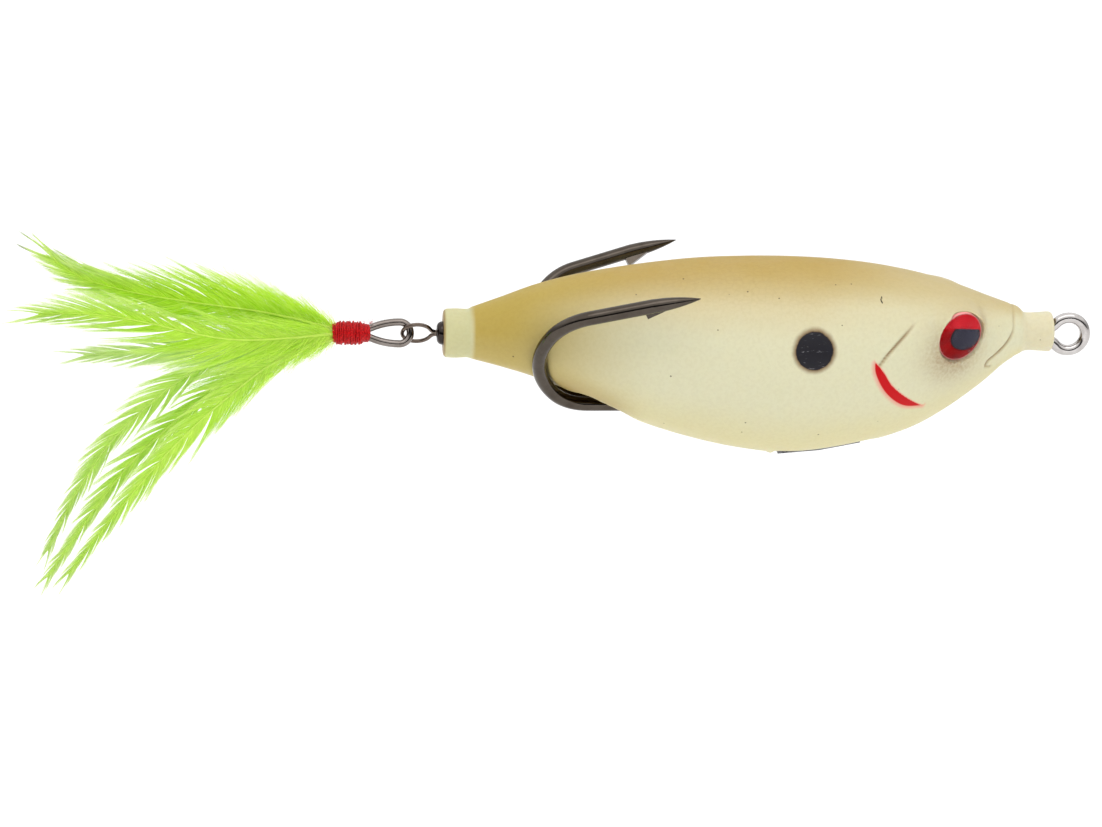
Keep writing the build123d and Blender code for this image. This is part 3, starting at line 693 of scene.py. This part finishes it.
def tube(line, radius, sides):
    """Round tube of varying radius along a line of points; its ends are closed."""
    line = np.asarray(line, float)
    tangent = np.gradient(line, axis=0)
    tangent /= np.linalg.norm(tangent, axis=1, keepdims=True)
    side = np.cross(tangent[0], (0.31, 0.52, 0.79))
    frames = []
    for t in tangent:
        side = side - t * (side @ t)
        side /= np.linalg.norm(side)
        frames.append((side.copy(), np.cross(t, side)))
    angles = 2 * np.pi * np.arange(sides) / sides
    verts = []
    radius = np.broadcast_to(radius, len(line))
    for point, (a, b), q in zip(line, frames, radius):
        verts.append(point + q * (np.cos(angles)[:, None] * a + np.sin(angles)[:, None] * b))
    verts = np.vstack(verts + [line[:1], line[-1:]])
    faces = grid_faces(len(line), sides)
    first, last = len(verts) - 2, len(verts) - 1
    end = (len(line) - 1) * sides
    faces += [(first, (k + 1) % sides, k) for k in range(sides)]
    faces += [(last, end + k, end + (k + 1) % sides) for k in range(sides)]
    return verts, faces


def join(parts):
    """One vertex and face list from several."""
    verts, faces, start = [], [], 0
    for v, f in parts:
        verts.append(v)
        faces += [tuple(i + start for i in face) for face in f]
        start += len(v)
    return np.vstack(verts), faces


def build_thread():
    """Thread wound back and forth over itself, with a few loose fibres."""
    parts = []
    middle = (WRAP_FRONT + WRAP_REAR) / 2
    thread_r = 0.085
    layers = [(WRAP_REAR + 0.08, WRAP_FRONT - 0.10, 24.0, -0.12, 0.0),
              (WRAP_FRONT - 0.12, WRAP_REAR + 0.10, 20.3, -0.02, 1.0),
              (WRAP_REAR + 0.25, WRAP_FRONT - 0.4, 13.6, 0.05, 2.1),
              (WRAP_FRONT - 0.9, WRAP_REAR + 0.7, 7.2, 0.10, 4.0)]
    core = [(WRAP_REAR + 0.02, 0.86), (WRAP_REAR + 0.1, 0.98), (middle - 0.5, WRAP_R - 0.10),
            (middle + 0.8, WRAP_R - 0.16), (WRAP_FRONT - 0.15, 0.90), (WRAP_FRONT - 0.04, 0.74)]
    line = np.array([(x, 0, 0) for x, _ in core])
    parts.append(tube(line, [q for _, q in core], 40))
    for start, end, turns, lift, phase in layers:
        count = int(turns * 26)
        u = np.linspace(0, 1, count)
        walk = np.convolve(rng.normal(0, 1, count + 60), np.ones(61) / 61, "valid")
        x = start + (end - start) * u + 0.10 * np.sin(u * turns * 1.9 + phase * 3) + 0.5 * walk
        x = np.clip(x, WRAP_REAR + 0.06, WRAP_FRONT - 0.06)
        bumps = np.convolve(rng.normal(0, 1, count + 12), np.ones(13) / 13, "valid")
        wobble = 0.10 * bumps + 0.04 * np.sin(u * 23 + phase)
        belly = WRAP_R - thread_r - 0.22 * ((x - middle + 0.4) / 2.0) ** 2
        q = belly + lift + wobble
        a = u * turns * 2 * np.pi + phase
        parts.append(tube(np.column_stack([x, q * np.cos(a), q * np.sin(a)]),
                          thread_r * (1 + 0.3 * bumps), 7))
    for _ in range(46):
        a = rng.uniform(0, 2 * np.pi)
        x = rng.uniform(WRAP_REAR, WRAP_FRONT)
        out = np.array((rng.normal(0, 0.5), np.cos(a), np.sin(a)))
        curl = rng.normal(0, 0.5, 3)
        length = rng.uniform(0.15, 0.5)
        u = np.linspace(0, 1, 6)[:, None]
        root = np.array((x, (WRAP_R - 0.1) * np.cos(a), (WRAP_R - 0.1) * np.sin(a)))
        parts.append(tube(root + length * (u * out + u ** 2 * curl), 0.012, 3))
    tuft = np.array((WRAP_FRONT - 0.1, -0.2, WRAP_R - 0.15))
    for _ in range(14):
        aim = np.array((rng.uniform(0.1, 1.0), rng.normal(0, 0.4), rng.uniform(0.1, 0.9)))
        u = np.linspace(0, 1, 7)[:, None]
        curl = rng.normal(0, 0.35, 3)
        parts.append(tube(tuft + rng.uniform(0.25, 0.6) * (u * aim + u ** 2 * curl), 0.014, 3))
    verts, faces = join(parts)
    return make_mesh("thread_wound", verts, faces)


def thread_material():
    s = Shade("red_thread")
    fibre = s.noise(6500.0, 3.0, 0.65)
    cloud = s.noise(1500.0, 2.0, 0.5)
    base = s.mix(s.step(fibre, 0.35, 0.70), linear(140, 0, 4), linear(214, 0, 10))
    base = s.mix(s.step(cloud, 0.60, 0.76, 0.0, 0.3), base, linear(226, 40, 40))
    s.surface(base_color=base, roughness=0.45, specular_ior_level=0.25,
              normal=s.bump(fibre, 0.5, 0.00006))
    return s.material


# ---- feathers -------------------------------------------------------------------------------

def build_feather(index, node, layer, splay, quill, upper, lower, down):
    """One hackle: a tapered quill with fine, clumped barbs on both sides and down at its root."""
    draw = np.random.default_rng(400 + index)
    line = smooth_line(quill, 200)
    length = np.linalg.norm(np.diff(line, axis=0), axis=1).sum()
    lean = math.radians(splay)
    tangent = np.gradient(line, axis=0)
    tangent /= np.linalg.norm(tangent, axis=1, keepdims=True)
    across = np.column_stack([-tangent[:, 1], tangent[:, 0]])
    segments = 6
    u = np.linspace(0, 1, segments + 1)
    verts, faces, tone, blade = [], [], [], []

    def place(flat, off):
        """Flat feather coordinates to the lure's frame."""
        back = WRAP_REAR - flat[:, 0]
        y = layer * np.clip(0.6 + 0.1 * back, 0.5, 1.2) + np.maximum(back, 0) * math.sin(lean)
        return np.column_stack([flat[:, 0], y + off, flat[:, 1]])

    def path_from(at, facing, first, last, long):
        """Line of a barb that leaves the quill at one angle and ends at another."""
        f = min(max(at, 0.0), 0.999) * (len(line) - 1)
        i = int(f)
        root = line[i] + (line[i + 1] - line[i]) * (f - i)
        angle = first + (last - first) * u ** 0.7
        direction = (np.cos(angle)[:, None] * tangent[i]
                     + facing * np.sin(angle)[:, None] * across[i])
        steps = (direction[1:] + direction[:-1]) / 2 * (long / segments)
        return root + np.vstack([[0, 0], np.cumsum(steps, axis=0)]), direction

    def barb(path, direction, off, half, shade, at):
        """Flat strip that narrows to a hair."""
        tilt = draw.normal(0, 0.4)
        normal = np.column_stack([-direction[:, 1], direction[:, 0]])
        wide = normal * (half * math.cos(tilt))[:, None]
        strip = np.empty((2 * (segments + 1), 3))
        strip[0::2] = place(path + wide, off + half * math.sin(tilt))
        strip[1::2] = place(path - wide, off - half * math.sin(tilt))
        first = barb.start
        verts.append(strip)
        faces.extend((first + 2 * m, first + 2 * m + 1, first + 2 * m + 3, first + 2 * m + 2)
                     for m in range(segments))
        tone.extend([shade] * len(strip))
        blade.extend(np.repeat(np.clip(0.5 * u + 0.5 * at, 0, 1), 2))
        barb.start += len(strip)

    barb.start = 0
    gap = 0.050 / length
    cup = 0.22 * math.copysign(1, layer + 0.01)
    for side, width in ((1, upper), (-1, lower)):
        # the quill runs backwards, so its upper side is the negative one
        facing = -side
        s = 0.015
        while s < 0.992:
            clump = int(draw.integers(10, 34))
            centre = s + clump * gap / 2
            sweep = draw.normal(0, 0.055)
            reach = draw.uniform(0.84, 1.10)
            lift = draw.normal(0, 0.28)
            for k in range(clump):
                at = s + k * gap
                if at > 0.992:
                    break
                ease = float(smoothstep(0, 0.22, at))
                taper = 0.50 + 0.50 * (1 - float(smoothstep(0.45, 1.0, at)))
                loose = float(smoothstep(down + 0.1, 0.02, at))
                long = 2.75 * width * (0.62 + 0.38 * ease) * taper * reach
                long *= draw.uniform(0.84, 1.06)
                first = math.radians(37 - 19 * at) + sweep * 0.5
                last = math.radians(12 - 8 * at) + sweep
                if draw.random() < 0.05:
                    last += draw.normal(0.05, 0.12)
                    long *= draw.uniform(1.0, 1.12)
                last += loose * draw.normal(0.10, 0.16)
                path, direction = path_from(at, facing, first, last, long)
                lead, _ = path_from(centre, facing, math.radians(37 - 19 * at),
                                    math.radians(12 - 8 * at) + sweep, long)
                hold = (0.50 - 0.35 * loose) * u[:, None] ** 1.7
                path = path * (1 - hold) + lead * hold
                off = (lift + cup) * u ** 1.5 + draw.normal(0, 0.07) * u
                off += loose * draw.normal(0, 0.5) * u ** 2
                half = 0.027 * draw.uniform(0.8, 1.25) * (1 - 0.9 * u ** 1.3) + 0.003
                shade = float(np.clip(draw.normal(0.5, 0.17) + 0.3 * lift, 0, 1))
                barb(path, direction, off, half, shade, at)
            s += clump * gap + draw.uniform(0.1, 1.6) * gap * (1 if s > down else 0.3)
        # wisps of down round the root
        for _ in range(170):
            at = draw.uniform(0.0, 0.42) ** 1.2
            first = math.radians(draw.uniform(34, 62))
            last = first - math.radians(draw.uniform(-12, 40))
            long = draw.uniform(0.6, 1.5) * width * (0.5 + 1.6 * at) * 1.25
            path, direction = path_from(at, facing, first, last, long)
            wave = draw.normal(0, 0.16) * np.sin(u * draw.uniform(2, 6)) * u
            path = path + direction[:, ::-1] * (1, -1) * wave[:, None]
            off = draw.normal(0, 0.9) * u ** 1.4
            barb(path, direction, off, 0.016 * (1 - 0.85 * u) + 0.003,
                 float(np.clip(draw.normal(0.7, 0.15), 0, 1)), at + 0.15)
    core = place(line[::2], np.zeros(len(line[::2])) - 0.04)
    q = np.linspace(1, 0, len(core))
    quill_verts, quill_faces = tube(core, 0.13 * q ** 0.8 + 0.02, 7)
    verts.append(quill_verts)
    faces += [tuple(i + barb.start for i in f) for f in quill_faces]
    tone += [0.95] * len(quill_verts)
    blade += list(np.concatenate([np.repeat(1 - q, 7) * 0.5, [0, 0.5]]))
    return make_mesh(node + "_barbs", np.vstack(verts), faces, {"tone": tone, "blade": blade})


def feather_material(name, pale, olive):
    s = Shade(name)
    tone, blade = s.attribute("tone"), s.attribute("blade")
    base = s.mix(s.step(tone, 0.1, 0.9), linear(194, 236, 34), linear(226, 250, 104))
    base = s.mix(s.step(blade, 0.36, 0.95, 0.0, 0.62 + 0.3 * pale), base, linear(232, 240, 200))
    base = s.mix(0.62 * pale, base, linear(232, 244, 208))
    if olive:
        tip = s.math("MULTIPLY", s.step(blade, 0.78, 0.94), s.step(tone, 0.44, 0.60))
        base = s.mix(s.math("MULTIPLY", tip, 0.75 * olive), base, linear(98, 118, 62))
    base = s.mix(s.step(s.noise(900.0, 3.0), 0.4, 0.7, 0.0, 0.16), base, linear(168, 212, 18))
    front = s.node("ShaderNodeBsdfPrincipled", {"Base Color": base, "Roughness": 0.55,
                   "Specular IOR Level": 0.3, "Sheen Weight": 0.1})
    back = s.node("ShaderNodeBsdfTranslucent", {"Color": base})
    both = s.node("ShaderNodeMixShader", {0: 0.45, 1: front.outputs[0], 2: back.outputs[0]})
    s.tree.links.new(both.outputs[0], s.out.inputs["Surface"])
    return s.material


# ---- assemble -------------------------------------------------------------------------------

def own(obj, body, slot, *nodes):
    """A new piece: its body and the CAD nodes that it stands for, which are hidden. slot, its
    finish, is not used.
    """
    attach(obj, body)
    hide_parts(*nodes)
    return obj


skin = own(build_skin(), "lure_body", "skin", "body_shell")
paint(skin, skin_material())

printed, lens = print_material(), lens_material()
for side, word in ((1, "right"), (-1, "left")):
    paint(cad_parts[f"{word}_eye_disc"], printed)
    drop = own(build_lens(side, f"{word}_lens"), "lure_body", "eye_lens", f"{word}_eye_dome")
    paint(drop, lens)

METALS = {
    "line_tie": metal("stainless_wire", linear(198, 194, 192), 0.11, 0.12, linear(160, 154, 150)),
    "double_hook": metal("black_nickel", linear(84, 77, 70), 0.09, 0.10, linear(62, 55, 48)),
    "swivel_barrel": metal("black_swivel", linear(62, 56, 54), 0.12, 0.1, linear(42, 37, 35)),
    "swivel_rear_eye": metal("swivel_wire", linear(112, 100, 92), 0.10, 0.1, linear(78, 62, 50)),
    "swivel_front_eye": metal("swivel_wire_front", linear(112, 100, 92), 0.10, 0.1,
                              linear(78, 62, 50)),
    "tail_ring": metal("nickel_ring", linear(140, 132, 127), 0.10, 0.12, linear(104, 94, 86)),
    "tail_wire": metal("inner_wire", linear(190, 188, 186), 0.2, 0.08, linear(160, 156, 150)),
    "keel_weight": lead_material(),
}
for node, material in METALS.items():
    paint(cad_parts[node], material)

thread = own(build_thread(), "feather_tail", "thread", "thread_wrap")
paint(thread, thread_material())

for index, (node, layer, splay, quill, upper, lower, down, pale, olive) in enumerate(FEATHERS):
    feather = build_feather(index, node, layer, splay, quill, upper, lower, down)
    own(feather, "feather_tail", "hackle", node)
    paint(feather, feather_material(node + "_dye", pale, olive))


# ---- stage, light and camera ----------------------------------------------------------------

FLOOR_Z = -62.0
FLOOR_HALF = 4000.0
corners = [(x * FLOOR_HALF, y * FLOOR_HALF, FLOOR_Z)
           for x, y in ((-1, -1), (1, -1), (1, 1), (-1, 1))]
floor = make_mesh("floor", corners, [(0, 1, 2, 3)])
paper = Shade("white_paper")
paper.surface(base_color=(0.96, 0.96, 0.96, 1), roughness=0.9, specular_ior_level=0.1)
paint(floor, paper.material)

world = bpy.data.worlds.new("studio")
bpy.context.scene.world = world
world.use_nodes = True
nodes, links = world.node_tree.nodes, world.node_tree.links
nodes.clear()
sky = nodes.new("ShaderNodeTexCoord")
split = nodes.new("ShaderNodeSeparateXYZ")
links.new(sky.outputs["Generated"], split.inputs[0])


def sky_step(axis, low, high, to_low, to_high):
    step = nodes.new("ShaderNodeMapRange")
    step.interpolation_type = "SMOOTHSTEP"
    links.new(split.outputs[axis], step.inputs["Value"])
    for key, value in zip(("From Min", "From Max", "To Min", "To Max"),
                          (low, high, to_low, to_high)):
        step.inputs[key].default_value = value
    return step.outputs["Result"]


# dark round the horizon, more so in front of the lure, and bright overhead
HORIZON_LEVEL = 0.52
OVERHEAD_LEVEL = 1.26
FRONT_DIMMING = 0.50
dim = nodes.new("ShaderNodeMath")
dim.operation = "MULTIPLY"
links.new(sky_step("Y", -0.10, -0.70, 0.0, FRONT_DIMMING), dim.inputs[0])
links.new(sky_step("Z", 0.60, 0.25, 0.0, 1.0), dim.inputs[1])
bright = nodes.new("ShaderNodeMath")
bright.operation = "SUBTRACT"
links.new(sky_step("Z", 0.15, 0.55, HORIZON_LEVEL, OVERHEAD_LEVEL), bright.inputs[0])
links.new(dim.outputs[0], bright.inputs[1])
back = nodes.new("ShaderNodeBackground")
back.inputs["Color"].default_value = (1, 1, 1, 1)
links.new(bright.outputs[0], back.inputs["Strength"])
links.new(back.outputs[0], nodes.new("ShaderNodeOutputWorld").inputs[0])


def area_light(name, place, aim, size, watts, mirrored=True):
    light = bpy.data.lights.new(name, "AREA")
    light.shape = "RECTANGLE"
    light.size, light.size_y = size[0] * MM, size[1] * MM
    light.energy = watts
    obj = bpy.data.objects.new(name, light)
    bpy.context.scene.collection.objects.link(obj)
    obj.location = Vector(place) * MM
    obj.visible_glossy = mirrored
    obj.rotation_euler = (Vector(aim) - Vector(place)).to_track_quat("-Z", "Y").to_euler()


CENTRE = (-55.0, 0.0, -5.0)
area_light("top_bank", (-40, -160, 420), CENTRE, (520, 200), 0.42)
area_light("front_bank", (100, -420, 150), CENTRE, (420, 200), 0.36, False)
area_light("low_bank", (-60, -330, -40), CENTRE, (420, 60), 0.10, False)

# camera: 450 mm from the object's middle, 17 degrees above it and 4.8 towards the tail
CAMERA_REACH = 450.0
CAMERA_UP = math.radians(17.0)
CAMERA_TURN = math.radians(4.8)
CAMERA_TARGET = Vector((-55.33, 0.0, -8.9))
LENS = 137.97
look = Vector((math.sin(CAMERA_TURN), math.cos(CAMERA_UP) * math.cos(CAMERA_TURN),
               -math.sin(CAMERA_UP) * math.cos(CAMERA_TURN))).normalized()
level = (Vector((1, 0, 0)) - look * look.x).normalized()
upright = level.cross(look)
camera = bpy.data.objects.new("camera", bpy.data.cameras.new("camera"))
bpy.context.scene.collection.objects.link(camera)
camera.data.sensor_width = 36.0
camera.data.lens = LENS
camera.data.clip_start, camera.data.clip_end = 0.01, 50.0
place = (CAMERA_TARGET - look * CAMERA_REACH) * MM
camera.matrix_world = Matrix((
    (level.x, upright.x, -look.x, place.x),
    (level.y, upright.y, -look.y, place.y),
    (level.z, upright.z, -look.z, place.z),
    (0, 0, 0, 1)))
bpy.context.scene.camera = camera
bpy.context.scene.view_settings.view_transform = "Standard"
